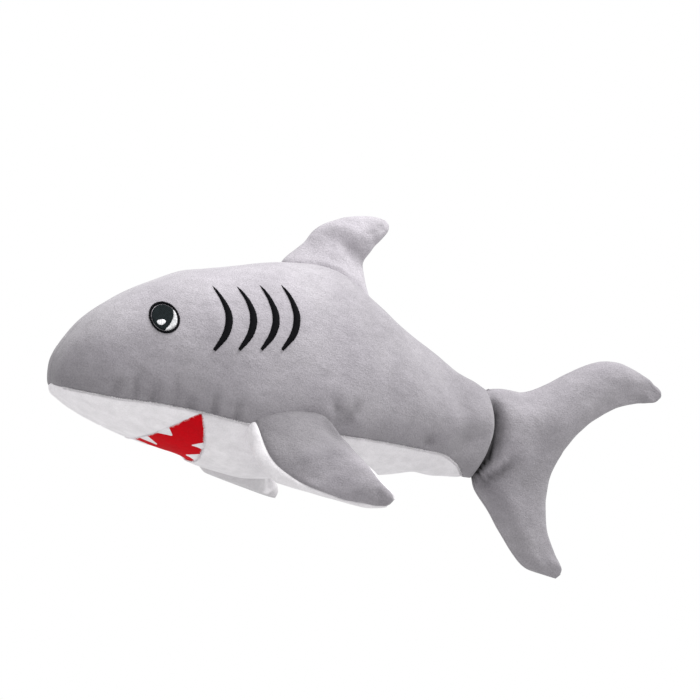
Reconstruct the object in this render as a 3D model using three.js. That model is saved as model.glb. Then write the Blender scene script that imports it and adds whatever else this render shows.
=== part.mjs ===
// Plush shark: a stuffed body of grey and white panels with a dorsal fin, two pectoral fins and a forked tail fin.
// The shark is shaped level: nose towards -X, its left side towards -Y, Z = 0 at the belly. It is then leant
// nose-down, so that it stands on its throat, its pectoral fins and the lower tail lobe. All sizes are in
// millimetres.
import * as THREE from "three";

const SKIN = 1.5; // pile fabric of the body
const FIN_SKIN = 1.2; // thinner fabric of the fins
const FELT = 1; // teeth, eyes and gill slits
const GAP = 0.3; // clearance between neighbouring pieces
const HALF_GAP = GAP / 2;
const LEAN = THREE.MathUtils.degToRad(17.7);
const THROAT = new THREE.Vector3(-90, 0, 5.9); // point of the throat that meets the floor
const FLOOR_NORMAL = new THREE.Vector3(Math.sin(LEAN), 0, Math.cos(LEAN));

const greyPile = new THREE.MeshStandardMaterial({ color: 0xb3b1b7, roughness: 0.95, metalness: 0 });
const whitePile = new THREE.MeshStandardMaterial({ color: 0xe8e6ea, roughness: 1, metalness: 0 });
const redFelt = new THREE.MeshStandardMaterial({ color: 0xc40c18, roughness: 0.9, metalness: 0 });
const whiteFelt = new THREE.MeshStandardMaterial({ color: 0xf2f0f0, roughness: 0.9, metalness: 0 });
const blackThread = new THREE.MeshStandardMaterial({ color: 0x141418, roughness: 0.6, metalness: 0 });
const irisThread = new THREE.MeshStandardMaterial({ color: 0x33393d, roughness: 0.6, metalness: 0 });
const fibrefill = new THREE.MeshStandardMaterial({ color: 0xf4f4f0, roughness: 1, metalness: 0 });

const level = new THREE.Group(); // holds every piece, still level

// Keeps a point at least a clearance above the floor, pressing it flat along the floor's normal.
function pressed(point, clearance) {
  const height = FLOOR_NORMAL.dot(point.clone().sub(THROAT));
  if (height < clearance) point.addScaledVector(FLOOR_NORMAL, clearance - height);
  return point;
}

// A closed solid between two surfaces, each a function of (row, column) from 0 to 1, joined along their rims.
// A ring closes on itself along its columns.
function slab(name, material, rows, columns, outer, inner, ring = false) {
  const across = ring ? columns : columns + 1;
  const sheet = (rows + 1) * across;
  const positions = [];
  for (const surface of [outer, inner]) {
    for (let i = 0; i <= rows; i++) {
      for (let j = 0; j < across; j++) {
        positions.push(...surface(i / rows, j / columns).toArray());
      }
    }
  }
  const indices = [];
  const out = (i, j) => i * across + (j % across);
  const inn = (i, j) => sheet + out(i, j);
  const quad = (a, b, c, d) => indices.push(a, b, c, a, c, d);
  for (let i = 0; i < rows; i++) {
    for (let j = 0; j < columns; j++) {
      quad(out(i, j), out(i + 1, j), out(i + 1, j + 1), out(i, j + 1));
      quad(inn(i, j), inn(i, j + 1), inn(i + 1, j + 1), inn(i + 1, j));
    }
    if (!ring) {
      quad(out(i + 1, 0), out(i, 0), inn(i, 0), inn(i + 1, 0));
      quad(out(i, columns), out(i + 1, columns), inn(i + 1, columns), inn(i, columns));
    }
  }
  for (let j = 0; j < columns; j++) {
    quad(out(0, j), out(0, j + 1), inn(0, j + 1), inn(0, j));
    quad(out(rows, j + 1), out(rows, j), inn(rows, j), inn(rows, j + 1));
  }
  const corner = (k) => new THREE.Vector3().fromArray(positions, 3 * indices[k]);
  let volume = 0;
  for (let k = 0; k < indices.length; k += 3) {
    volume += corner(k).dot(corner(k + 1).cross(corner(k + 2)));
  }
  if (volume < 0) indices.reverse();
  const geometry = new THREE.BufferGeometry();
  geometry.setAttribute("position", new THREE.Float32BufferAttribute(positions, 3));
  geometry.setIndex(indices);
  geometry.computeVertexNormals();
  const mesh = new THREE.Mesh(geometry, material);
  mesh.name = name;
  level.add(mesh);
  return mesh;
}

const { lerp, clamp } = THREE.MathUtils;

// A smooth curve through rows of numbers, as a function of 0 to 1 that returns a row.
function curveThrough(rows) {
  const width = rows[0].length;
  const curves = [];
  for (let k = 0; k < width; k += 3) {
    const points = rows.map((row) => new THREE.Vector3(row[k], row[k + 1] ?? 0, row[k + 2] ?? 0));
    curves.push(new THREE.CatmullRomCurve3(points, false, "catmullrom", 0.5));
  }
  return (t) => curves.flatMap((curve) => curve.getPoint(clamp(t, 0, 1)).toArray()).slice(0, width);
}

// ---- Body ----

// Stations from the nose to the tail joint: x, height of the back, of the belly, half width, height of the widest
// line, height of the grey-white seam, and lean of the section (x per z).
const STATIONS = [
  [-182, 56, 56, 0, 56, 56, 0],
  [-181, 64, 49, 9, 56, 53, 0],
  [-177, 74, 44.5, 18, 57, 51.5, 0],
  [-168, 85.5, 39, 27, 59, 49.5, 0],
  [-152, 98, 30.5, 36, 61, 46.5, 0],
  [-130, 109, 21.5, 43.5, 62, 43, 0],
  [-105, 117, 12.5, 49.5, 62, 38, 0],
  [-90, 119, 4, 52, 61, 34, 0],
  [-72, 121, 0.6, 53.7, 60, 30, 0],
  [-45, 124, 0, 54, 58, 26.5, 0],
  [-15, 119.5, 0, 50, 53, 23.5, 0],
  [12, 99.5, 0, 42, 46, 19, 0],
  [34, 80.5, -0.3, 33.5, 40, 15, 0],
  [50, 69, -0.8, 27, 35, 12, 0.05],
  [61, 61, -1.2, 23, 31, 6.5, 0.12],
  [71, 55, -2, 19, 28, -2, 0.2],
  [77, 51.5, -2.6, 13.5, 26, -2.6, 0.22],
  [80, 49.5, -3, 7.5, 24, -3, 0.23],
  [80.8, 48.5, -3, 2, 23, -3, 0.23],
];
const bodyStation = curveThrough(STATIONS);
const ROUND = 2 / 2.25; // power of the superellipse sections
const NOSE_START = 0.012; // the panels meet at the nose within about a millimetre
const SEAM_TURNS = 40; // x beyond which the seam turns down to the keel, and its gap is wider

// The station parameter at which the body's spine reaches x.
function stationAt(x) {
  let low = 0;
  let high = 1;
  for (let k = 0; k < 40; k++) {
    const middle = (low + high) / 2;
    if (bodyStation(middle)[0] < x) low = middle;
    else high = middle;
  }
  return (low + high) / 2;
}

// Point of the body's outer surface: u along the stations, angle from the back (0) round to the belly (PI) on the
// left (side -1) or right (side 1).
function bodyPoint(u, angle, side) {
  const [x, top, bottom, halfWidth, wide, , lean] = bodyStation(u);
  const cosine = Math.cos(angle);
  const rise = cosine > 0 ? top - wide : wide - bottom;
  const z = wide + rise * Math.sign(cosine) * Math.abs(cosine) ** ROUND;
  const y = side * halfWidth * Math.abs(Math.sin(angle)) ** ROUND;
  return new THREE.Vector3(x + lean * (z - (top + bottom) / 2), y, z);
}

function bodyNormal(u, angle, side) {
  const step = 0.002;
  const low = clamp(u - step, 0.002, 1);
  const high = clamp(u + step, 0, 1);
  const alongU = bodyPoint(high, angle, side).sub(bodyPoint(low, angle, side));
  const turn = 0.02;
  const before = clamp(angle - turn, 0.01, Math.PI - 0.01);
  const after = clamp(angle + turn, 0.01, Math.PI - 0.01);
  const around = bodyPoint(u, after, side).sub(bodyPoint(u, before, side));
  return alongU.cross(around).multiplyScalar(side).normalize();
}

// Point of the body's surface moved out along its normal, and kept off the floor.
function bodyLayer(u, angle, side, offset, clearance = 0) {
  const point = bodyPoint(u, angle, side).addScaledVector(bodyNormal(u, angle, side), offset);
  return pressed(point, clearance);
}

// The angle of the section at which the surface is at height z.
function angleAt(u, z) {
  const [, top, bottom, , wide] = bodyStation(u);
  const share = z > wide ? (z - wide) / (top - wide) : (z - wide) / (wide - bottom);
  return Math.acos(Math.sign(share) * Math.min(1, Math.abs(share)) ** (1 / ROUND));
}

const seamAngle = (u) => angleAt(u, bodyStation(u)[5]);
const seamGap = (u) => HALF_GAP + (bodyStation(u)[0] > SEAM_TURNS ? HALF_GAP : 0);

// The angle that a length along the section spans.
function spanned(u, angle, length) {
  const turn = 0.05;
  return (length * turn) / bodyPoint(u, angle + turn, 1).distanceTo(bodyPoint(u, angle, 1));
}

const LEFT = -1;
const RIGHT = 1;
const sides = [
  ["left", LEFT],
  ["right", RIGHT],
];

for (const [word, side] of sides) {
  const layer = (offset, clearance) => (i, j) => {
    const u = lerp(NOSE_START, 1, i);
    const first = spanned(u, 0.05, HALF_GAP);
    const seam = seamAngle(u);
    const last = seam - spanned(u, seam - 0.1, seamGap(u));
    const point = bodyLayer(u, lerp(first, last, j), side, offset, clearance);
    point.y = side * Math.max(side * point.y, HALF_GAP);
    return point;
  };
  slab(`body_side_${word}`, greyPile, 42, 8, layer(0, 0), layer(-SKIN, SKIN));
}

// The underside between the two seams: q is -1 at the left seam, 0 at the keel and 1 at the right seam.
function underLayer(u, q, offset, clearance) {
  const seam = seamAngle(u);
  const edge = 1 - spanned(u, seam + 0.05, seamGap(u)) / Math.max(Math.PI - seam, 0.01);
  const angle = Math.PI - Math.abs(q) * edge * (Math.PI - seam);
  return bodyLayer(u, angle, q < 0 ? LEFT : RIGHT, offset, clearance);
}

const MOUTH_CORNER = -105; // x of the two corners, on the grey-white seam
const MOUTH_FRONT = -134; // x of the upper jaw's edge at the keel
const MOUTH_REAR = -99.5; // x of the lower jaw's edge at the keel
const mouthFront = (q) => lerp(MOUTH_FRONT, MOUTH_CORNER, Math.abs(q) ** 2.2);
const mouthRear = (q) => lerp(MOUTH_REAR, MOUTH_CORNER, Math.abs(q) ** 2.5);
const BELLY_END = 68; // x at which the two grey sides meet below the tail

// A panel of the underside from one x curve to another, over part of its width.
function underPanel(name, material, rows, columns, thickness, from, to, width) {
  const layer = (offset, clearance) => (i, j) => {
    const q = width * (2 * j - 1);
    return underLayer(lerp(stationAt(from(q)), stationAt(to(q)), i), q, offset, clearance);
  };
  slab(name, material, rows, columns, layer(0, 0), layer(-thickness, thickness));
}

const noseX = bodyStation(NOSE_START)[0];
underPanel("snout_underside", whitePile, 11, 12, SKIN, () => noseX, (q) => mouthFront(q) - HALF_GAP, 1);
underPanel("mouth_panel", redFelt, 4, 12, SKIN, (q) => mouthFront(q) + GAP, (q) => mouthRear(q) - 2 * GAP, 0.93);
underPanel("belly_panel", whitePile, 22, 10, SKIN, (q) => mouthRear(q) + HALF_GAP, () => BELLY_END, 1);

const CORE = SKIN + 1.8; // depth of the stuffing below the surface, clear of the panels' flat facets
const stuffingLayer = (side) => (i, j) =>
  bodyLayer(lerp(0.09, 0.85, i), lerp(0.04, Math.PI - 0.04, j), side, -CORE, CORE);
slab("body_stuffing", fibrefill, 22, 10, stuffingLayer(LEFT), stuffingLayer(RIGHT));

// ---- Teeth, eyes and gill slits ----

// A felt triangle lying on the mouth panel: its base from q1 to q2 along a jaw's edge, and a blunt tip.
const TOOTH_INSET = 0.6; // from the jaw's edge to a tooth's base
const TOOTH_TIP = 0.12; // width of the tip, as a share of the base
function tooth(name, jaw, inset, [q1, q2, tipX, tipQ]) {
  const layer = (offset) => (i, j) => {
    const baseQ = lerp(q1, q2, j);
    const endQ = tipQ + (j - 0.5) * TOOTH_TIP * (q2 - q1);
    const x = lerp(jaw(baseQ) + inset, tipX, i);
    return underLayer(stationAt(x), lerp(baseQ, endQ, i), offset, 0);
  };
  slab(name, whiteFelt, 3, 3, layer(GAP + FELT), layer(GAP));
}

// Teeth of the right half, from the corner of the mouth to the keel: q of the base's ends, x and q of the tip.
const UPPER_TEETH = [
  [0.52, 0.71, -118, 0.555],
  [0.22, 0.415, -122, 0.215],
];
const LOWER_TEETH = [
  [0.45, 0.62, -106.5, 0.465],
  [0.12, 0.385, -105.5, 0.19],
];
const MIDDLE_TOOTH = [-0.08, 0.08, -123, 0];
const mirrored = (teeth) => teeth.map(([q1, q2, tipX, tipQ]) => [-q2, -q1, tipX, -tipQ]);
const upperJaw = [...mirrored(UPPER_TEETH), MIDDLE_TOOTH, ...UPPER_TEETH.toReversed()];
const lowerJaw = [...mirrored(LOWER_TEETH), ...LOWER_TEETH.toReversed()];
upperJaw.forEach((shape, k) => tooth(`upper_tooth_${k + 1}`, mouthFront, TOOTH_INSET, shape));
lowerJaw.forEach((shape, k) => tooth(`lower_tooth_${k + 1}`, mouthRear, -TOOTH_INSET, shape));

// A patch that lies on the body's side around (x, z): a point of the patch is given by its x and z distances.
function sidePoint(x, z, side, offset) {
  const u = stationAt(x);
  return bodyLayer(u, angleAt(u, z), side, offset);
}

const EYE = { x: -125, z: 90.3, radius: 8.5, outline: 1.6 };
const HIGHLIGHT = { x: -2.1, z: -2.6, radius: 2.4, flat: 0.75 }; // its centre is measured from the eye's
const CRESCENT = { start: -1.7, end: 0.75, width: 2.5, tip: 0.35 }; // turns in radians
for (const [word, side] of sides) {
  const at = (dx, dz, offset) => sidePoint(EYE.x + dx, EYE.z + dz, side, offset);
  const disc = ({ x, z, radius, flat }, offset) => (i, j) => {
    const a = 2 * i - 1;
    const b = 2 * j - 1;
    const dx = a * Math.sqrt(1 - (b * b) / 2) * radius;
    const dz = b * Math.sqrt(1 - (a * a) / 2) * radius * flat;
    return at(x + dx, z + dz, offset);
  };
  const ring = (offset) => (i, j) => {
    const radius = EYE.radius - EYE.outline * i;
    const turn = 2 * Math.PI * j;
    return at(radius * Math.cos(turn), radius * Math.sin(turn), offset);
  };
  slab(`eye_outline_${word}`, blackThread, 1, 22, ring(GAP + FELT), ring(GAP), true);
  const iris = { x: 0, z: 0, radius: EYE.radius - EYE.outline - GAP, flat: 1 };
  slab(`eye_iris_${word}`, irisThread, 5, 5, disc(iris, GAP + FELT), disc(iris, GAP));
  const lift = GAP + FELT + GAP;
  slab(`eye_highlight_${word}`, whiteFelt, 3, 3, disc(HIGHLIGHT, lift + FELT), disc(HIGHLIGHT, lift));
  const crescent = (offset) => (i, j) => {
    const turn = lerp(CRESCENT.start, CRESCENT.end, i);
    const width = CRESCENT.tip + CRESCENT.width * Math.sin(Math.PI * i);
    const radius = iris.radius - GAP - width * j;
    return at(radius * Math.cos(turn), radius * Math.sin(turn), offset);
  };
  slab(`eye_crescent_${word}`, whiteFelt, 8, 1, crescent(lift + FELT), crescent(lift));
}

// Gill slits: x of each one's top, and the same crescent for all, bulging towards the tail: x from the top, height
// and width.
const GILLS = [-95.5, -81.5, -68.5, -56.3];
const gillLine = curveThrough([
  [0, 108.5, 0.4],
  [4, 100, 2],
  [5.8, 90.5, 3.3],
  [3, 81.5, 3.2],
  [-4.2, 73, 1.2],
]);
for (const [word, side] of sides) {
  GILLS.forEach((x, k) => {
    const layer = (offset) => (i, j) => {
      const [dx, z, width] = gillLine(i);
      return sidePoint(x + dx + width * (j - 0.5), z, side, offset);
    };
    slab(`gill_slit_${word}_${k + 1}`, blackThread, 7, 1, layer(GAP + FELT), layer(GAP));
  });
}

// ---- Fins ----

// A fin is a pad of two panels sewn along their rims over stuffing. Each rib joins a point of the leading edge to
// one of the trailing edge, has a half thickness, and may arch upwards by a height at its middle. The tip droops by
// a length. The stuffing fills a range of the panels' rows and columns.
function fin(names, materials, ribs, rows, columns, filledRows, filledColumns, mirror = 1, droop = 0) {
  const rib = curveThrough(ribs.map(([a, b, half, arch = 0]) => [...a, ...b, half, arch]));
  const middle = (s, t) => {
    const row = rib(s);
    const point = new THREE.Vector3().fromArray(row).lerp(new THREE.Vector3().fromArray(row, 3), t);
    point.z += row[7] * 4 * t * (1 - t) - droop * s * s;
    return point;
  };
  const normal = (s, t) => {
    const step = 0.01;
    const s0 = clamp(s, step, 1 - step);
    const t0 = clamp(t, step, 1 - step);
    const along = middle(s0 + step, t0).sub(middle(s0 - step, t0));
    const across = middle(s0, t0 + step).sub(middle(s0, t0 - step));
    return along.cross(across).normalize();
  };
  const fill = (s, t) => rib(s)[6] * Math.max(0, 4 * t * (1 - t)) ** 0.62;
  const layer = (offset, clearance) => (s, t) => {
    const point = pressed(middle(s, t).addScaledVector(normal(s, t), offset(s, t)), clearance);
    point.y *= mirror;
    return point;
  };
  [1, -1].forEach((face, k) => {
    slab(names[k], materials[k], rows, columns,
      layer((s, t) => face * (HALF_GAP + fill(s, t) + FIN_SKIN), 0),
      layer((s, t) => face * (HALF_GAP + fill(s, t)), FIN_SKIN));
  });
  const stuffed = (face) => (i, j) => {
    const s = lerp(filledRows[0], filledRows[1], i) / rows;
    const t = lerp(filledColumns[0], filledColumns[1], j) / columns;
    return layer(() => face * (fill(s, t) - GAP), FIN_SKIN + 5 * GAP)(s, t);
  };
  slab(names[2], fibrefill, filledRows[1] - filledRows[0], filledColumns[1] - filledColumns[0], stuffed(1), stuffed(-1));
}

// Dorsal fin: ribs from its base on the back up to the tip.
const DORSAL_RIBS = [
  [[-42, 0, 126], [10.5, 0, 103.5], 0.2, 7.5],
  [[-37.5, 0, 130], [8, 0, 110], 4.5, 5],
  [[-31, 0, 136], [6.5, 0, 117.5], 7.5, 3],
  [[-24, 0, 143.5], [7, 0, 125], 8.5],
  [[-13, 0, 148], [12, 0, 132], 8],
  [[0, 0, 151], [17, 0, 137], 6.5],
  [[13, 0, 151.5], [21, 0, 142], 4],
  [[21, 0, 149], [23, 0, 146.5], 1],
];
fin(["dorsal_fin_right_panel", "dorsal_fin_left_panel", "dorsal_fin_stuffing"], [greyPile, greyPile],
  DORSAL_RIBS, 10, 8, [1, 9], [1, 7]);

// Pectoral fins: ribs from the root on the seam, out and down to the tip, of the left fin.
const PECTORAL_RIBS = [
  [[-76, -52.5, 27], [-28, -52.5, 27.5], 0.2],
  [[-75, -57, 17], [-26.5, -59.5, 23], 5.5],
  [[-70, -62, 5.5], [-24.5, -70, 17], 8],
  [[-61.5, -68, -2.5], [-22.5, -81, 11.5], 8.5],
  [[-49, -76, -8.5], [-20, -91, 4.5], 8],
  [[-36, -84.5, -11.5], [-17, -99, -2.5], 6.5],
  [[-24.5, -92.5, -12.5], [-14, -104.5, -8], 4],
  [[-17, -98, -12], [-13, -104, -10.5], 1],
];
const DROOP = { left: 0, right: 6 }; // the right fin hangs lower
for (const [word, side] of sides) {
  const name = `pectoral_fin_${word}`;
  fin([`${name}_top`, `${name}_underside`, `${name}_stuffing`], [greyPile, whitePile],
    PECTORAL_RIBS, 10, 8, [1, 9], [1, 7], -side, DROOP[word]);
}

// Tail fin: ribs across the crescent from the upper tip to the lower tip. Four of them start on the tail joint.
const HINGE_TOP = [88.8, 0, 47];
const HINGE_FOOT = [77.4, 0, -3];
const onHinge = (share) => HINGE_TOP.map((value, k) => lerp(value, HINGE_FOOT[k], share));
const TAIL_RIBS = [
  [[196, 0, 49], [195, 0, 44], 0.8],
  [[189, 0, 57], [184, 0, 40.5], 3.5],
  [[173, 0, 65], [171, 0, 37.5], 6],
  [[155, 0, 65], [158, 0, 31.5], 8.5],
  [[136, 0, 58], [147, 0, 24], 10.5],
  [[112, 0, 49], [137, 0, 14], 12],
  [onHinge(0), [131, 0, 5], 12.5],
  [onHinge(0.5), [127, 0, -3], 13],
  [onHinge(1), [125, 0, -12], 12],
  [[86, 0, -21.5], [124, 0, -22], 10.5],
  [[97, 0, -40], [125, 0, -36], 8.5],
  [[108, 0, -54.5], [128, 0, -47], 6],
  [[119, 0, -61], [131.5, 0, -56], 3.5],
  [[127, 0, -64], [132, 0, -61], 0.8],
];
fin(["tail_fin_left_panel", "tail_fin_right_panel", "tail_fin_stuffing"], [greyPile, greyPile],
  TAIL_RIBS, 20, 8, [2, 18], [1, 7]);

// ---- Stance ----

const group = new THREE.Group();
group.name = "plush_shark";
level.rotation.y = -LEAN;
level.updateMatrixWorld(true);
const box = new THREE.Box3().setFromObject(level, true);
const centre = box.getCenter(new THREE.Vector3());
level.position.set(-centre.x, 0, -box.min.z);
group.add(level);

export default group;
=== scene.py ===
"""Looks of the plush shark: pile fabric panels, felt mouth and teeth, embroidered eyes and gill slits.

The shark is shaped level, in millimetres, as the CAD part is: nose towards -X, its left side towards -Y,
Z = 0 at the belly. to_frame() leans it nose-down onto the floor and turns it to metres.
"""

import math

import bpy
import numpy as np
from mathutils import Matrix, Vector


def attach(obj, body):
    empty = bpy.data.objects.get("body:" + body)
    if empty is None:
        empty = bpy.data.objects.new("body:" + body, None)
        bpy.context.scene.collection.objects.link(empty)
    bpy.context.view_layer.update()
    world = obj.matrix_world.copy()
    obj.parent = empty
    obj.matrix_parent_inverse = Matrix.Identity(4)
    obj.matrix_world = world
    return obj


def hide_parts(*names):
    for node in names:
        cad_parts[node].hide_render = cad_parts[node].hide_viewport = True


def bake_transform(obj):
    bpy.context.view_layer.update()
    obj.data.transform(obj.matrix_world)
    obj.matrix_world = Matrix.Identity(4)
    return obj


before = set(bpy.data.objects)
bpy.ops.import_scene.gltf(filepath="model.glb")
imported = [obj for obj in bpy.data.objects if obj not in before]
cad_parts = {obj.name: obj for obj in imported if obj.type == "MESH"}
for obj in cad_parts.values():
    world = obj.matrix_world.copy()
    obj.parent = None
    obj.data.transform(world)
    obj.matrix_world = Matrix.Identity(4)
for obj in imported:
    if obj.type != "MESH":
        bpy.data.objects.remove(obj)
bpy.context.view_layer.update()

LEAN = math.radians(17.7)
LEVEL_ORIGIN = np.array([9.7648, 0.0, 21.7422])  # where the level shape's origin stands, in millimetres
MM = 0.001
TURN = 2 * math.pi
FLOOR_GAP = 0.2  # lowest height of the fabric above the floor, in millimetres


# ---- helpers


def leaned(vectors):
    """Level vectors, turned to the row frame's axes."""
    vectors = np.asarray(vectors, float)
    x, y, z = (vectors[..., k] for k in range(3))
    c, s = math.cos(LEAN), math.sin(LEAN)
    return np.stack([c * x - s * z, y, s * x + c * z], axis=-1)


def to_frame(points):
    """Level millimetres to the row frame's metres, kept above the floor."""
    placed = leaned(points) + LEVEL_ORIGIN
    placed[..., 2] = np.maximum(placed[..., 2], FLOOR_GAP)
    return placed * MM


def place(x, y, z):
    """One level point in the row frame, as a tuple."""
    return tuple(float(v) for v in to_frame(np.array([x, y, z])))


def smoothstep(value, low, high):
    share = np.clip((value - low) / (high - low), 0, 1)
    return share * share * (3 - 2 * share)


def lerp(a, b, share):
    return a + (b - a) * share


def unit(vectors):
    return vectors / np.maximum(np.linalg.norm(vectors, axis=-1, keepdims=True), 1e-9)


def curve_through(rows, t):
    """A smooth curve through rows of numbers, at parameters t from 0 to 1."""
    rows = np.asarray(rows, float)
    padded = np.vstack([2 * rows[0] - rows[1], rows, 2 * rows[-1] - rows[-2]])
    along = np.clip(t, 0, 1) * (len(rows) - 1)
    k = np.minimum(along.astype(int), len(rows) - 2)
    f = (along - k)[..., None]
    p0, p1, p2, p3 = (padded[k + i] for i in range(4))
    square, cube = 2 * p0 - 5 * p1 + 4 * p2 - p3, 3 * p1 - p0 - 3 * p2 + p3
    return 0.5 * (2 * p1 + (p2 - p0) * f + square * f**2 + cube * f**3)


WAVES = 9  # how many waves add up to one ripple


def ripple(points, wavelength, seed):
    """Smooth noise over points in millimetres, mostly from -1 to 1, in lumps about a wavelength long."""
    rng = np.random.default_rng(seed)
    total = np.zeros(points.shape[:-1])
    for _ in range(WAVES):
        direction = unit(rng.normal(size=3)) * TURN / (wavelength * rng.uniform(0.7, 1.5))
        total += np.sin(points @ direction + rng.uniform(0, TURN))
    return total / math.sqrt(WAVES) / 1.6


def grid_normals(points):
    """Unit normals of a grid of points (rows, columns, 3)."""
    return unit(np.cross(np.gradient(points, axis=0), np.gradient(points, axis=1)))


def grid_faces(rows, columns, ring=False):
    """Quads of a grid of points stored row by row; a ring closes along its columns."""
    faces = []
    for first in range(0, (rows - 1) * columns, columns):
        for j in range(columns if ring else columns - 1):
            k = (j + 1) % columns
            faces.append((first + j, first + columns + j, first + columns + k, first + k))
    return faces


def sample(grid, row, column):
    """Values of a closed grid (rows, columns, 3) at fractional rows and columns."""
    i = np.minimum(row.astype(int), len(grid) - 2)
    j = np.floor(column).astype(int)
    a, b = (row - i)[..., None], (column - j)[..., None]
    j0, j1 = j % grid.shape[1], (j + 1) % grid.shape[1]
    low = lerp(grid[i, j0], grid[i, j1], b)
    high = lerp(grid[i + 1, j0], grid[i + 1, j1], b)
    return lerp(low, high, a)


def tube_faces(rows, columns):
    """Quads of a ring grid, closed by a face at each end."""
    faces = grid_faces(rows, columns, ring=True)
    faces.append(tuple(range(columns)))
    faces.append(tuple(reversed(range((rows - 1) * columns, rows * columns))))
    return faces


def add_object(name, data):
    """A new object in the scene, holding a mesh, a camera or a lamp."""
    new = bpy.data.objects.new(name, data)
    bpy.context.scene.collection.objects.link(new)
    return new


def mesh_object(name, points, faces, material):
    """A new object from level millimetre points."""
    mesh = bpy.data.meshes.new(name)
    mesh.from_pydata(to_frame(points).reshape(-1, 3).tolist(), [], faces)
    mesh.polygons.foreach_set("use_smooth", [True] * len(mesh.polygons))
    mesh.materials.append(material)
    mesh.update()
    return add_object(name, mesh)


def set_painted_light(piece, values):
    """Stores painted light and shade, by which the pile materials multiply their colour."""
    shade = piece.data.attributes.new("painted_light", "FLOAT", "POINT")
    shade.data.foreach_set("value", np.asarray(values).ravel().astype(np.float32))


def subdivide(piece):
    """Smooths a piece by one subdivision, applied to its mesh."""
    modifier = piece.modifiers.new("Subdivision", "SUBSURF")
    modifier.levels = modifier.render_levels = 1
    bpy.context.view_layer.update()
    shaped = piece.evaluated_get(bpy.context.evaluated_depsgraph_get())
    mesh = bpy.data.meshes.new_from_object(shaped)
    piece.modifiers.clear()
    piece.data = mesh


EDGE_ROWS = (0.0, 0.35, 0.9, 1.7, 2.8)  # distances of a panel's close rows from its edge
EDGE_BAND = 4.2  # where its evenly spaced rows begin


def spacing(length, step):
    """Shares of a length for a panel's rows, closer together at both edges, where it rolls into seams."""
    middle = max(int(round((length - 2 * EDGE_BAND) / step)), 2)
    edge = np.array(EDGE_ROWS) / length
    inner = np.linspace(EDGE_BAND / length, 1 - EDGE_BAND / length, middle)
    return np.concatenate([edge, inner, 1 - edge[::-1]])


# ---- the body's shape

# x, heights of the back and the belly, half width, heights of the widest line and the seam, lean (x per z)
STATIONS = [
    [-182, 54.5, 54.5, 0, 54.5, 54.5, 0],
    [-181, 63, 48.5, 9, 55.5, 53, 0],
    [-177, 72.8, 45, 18, 57, 51.5, 0],
    [-168, 84, 39.5, 27, 59, 49.5, 0],
    [-152, 98.2, 31, 36, 61, 46.5, 0],
    [-130, 109.8, 21.7, 43.5, 62, 43, 0],
    [-105, 118, 12.5, 49.5, 62, 38, 0],
    [-90, 120, 4, 52, 61, 34, 0],
    [-72, 121.6, 0.6, 53.7, 60, 30, 0],
    [-45, 123.6, 0, 54, 58, 26.5, 0],
    [-15, 119.5, 0, 50, 53, 23.5, 0],
    [12, 100, 0, 42, 46, 19, 0],
    [34, 83, -0.3, 33.5, 40, 15, 0],
    [50, 70, -0.8, 27, 35, 12, 0.05],
    [61, 61, -1.2, 23, 31, 6.9, 0.12],
    [71, 55, -2, 19.5, 28, -0.5, 0.2],
    [77, 51.5, -2.6, 15, 26, -2.6, 0.22],
    [80, 49.5, -3, 8.5, 24, -3, 0.23],
    [80.8, 48.5, -3, 2, 23, -3, 0.23],
]
ROUND = 2 / 2.25  # power of the superellipse sections
NOSE_START = 0.003
JOINT_BOW = 5.5  # how far the tail joint's seam curves back at its middle
JOINT_MIDDLE, JOINT_HALF = 22.0, 26.0  # height of the joint's middle, and half its height


def joint_bow(z):
    return JOINT_BOW * np.clip(1 - ((z - JOINT_MIDDLE) / JOINT_HALF) ** 2, 0, 1)


def station(u):
    return curve_through(STATIONS, np.asarray(u, float))


STATION_X = station(np.linspace(0, 1, 2001))[:, 0]


def station_at(x):
    """The station parameter at which the body reaches x."""
    return np.interp(x, STATION_X, np.linspace(0, 1, len(STATION_X)))


def body_point(u, w):
    """The body's plain surface: u along the stations, w round them, 0 at the back and pi at the keel."""
    row = station(u)
    x, top, bottom, half, wide, lean = (row[..., k] for k in (0, 1, 2, 3, 4, 6))
    cosine, sine = np.cos(w), np.sin(w)
    rise = np.where(cosine > 0, top - wide, wide - bottom)
    z = wide + rise * np.sign(cosine) * np.abs(cosine) ** ROUND
    y = half * np.sign(sine) * np.abs(sine) ** ROUND
    x = x + lean * (z - (top + bottom) / 2) + joint_bow(z) * smoothstep(x, 55, 80)
    return np.stack([x, y, z], axis=-1)


def angle_at(u, z):
    """The angle round the section, from 0 to pi, at which the plain surface is at height z."""
    row = station(u)
    top, bottom, wide = row[..., 1], row[..., 2], row[..., 4]
    share = np.where(z > wide, (z - wide) / (top - wide), (z - wide) / (wide - bottom))
    return np.arccos(np.sign(share) * np.minimum(1, np.abs(share)) ** (1 / ROUND))


def seam_angle(u):
    return angle_at(u, station(u)[..., 5])


def body_normal(u, w):
    du, dw = 0.002, 0.02
    along = body_point(np.clip(u + du, 0, 1), w) - body_point(np.clip(u - du, 0.001, 1), w)
    around = body_point(u, w + dw) - body_point(u, w - dw)
    return unit(np.cross(along, around))


# ---- cloth


CLOTH_FRAMES = 20
CLOTH_GROWTH = 0.02  # share by which the fabric is larger than its skin, so that it puckers at its seams


LEAST_PIN = 0.02  # pin weights below this are left out


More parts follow.
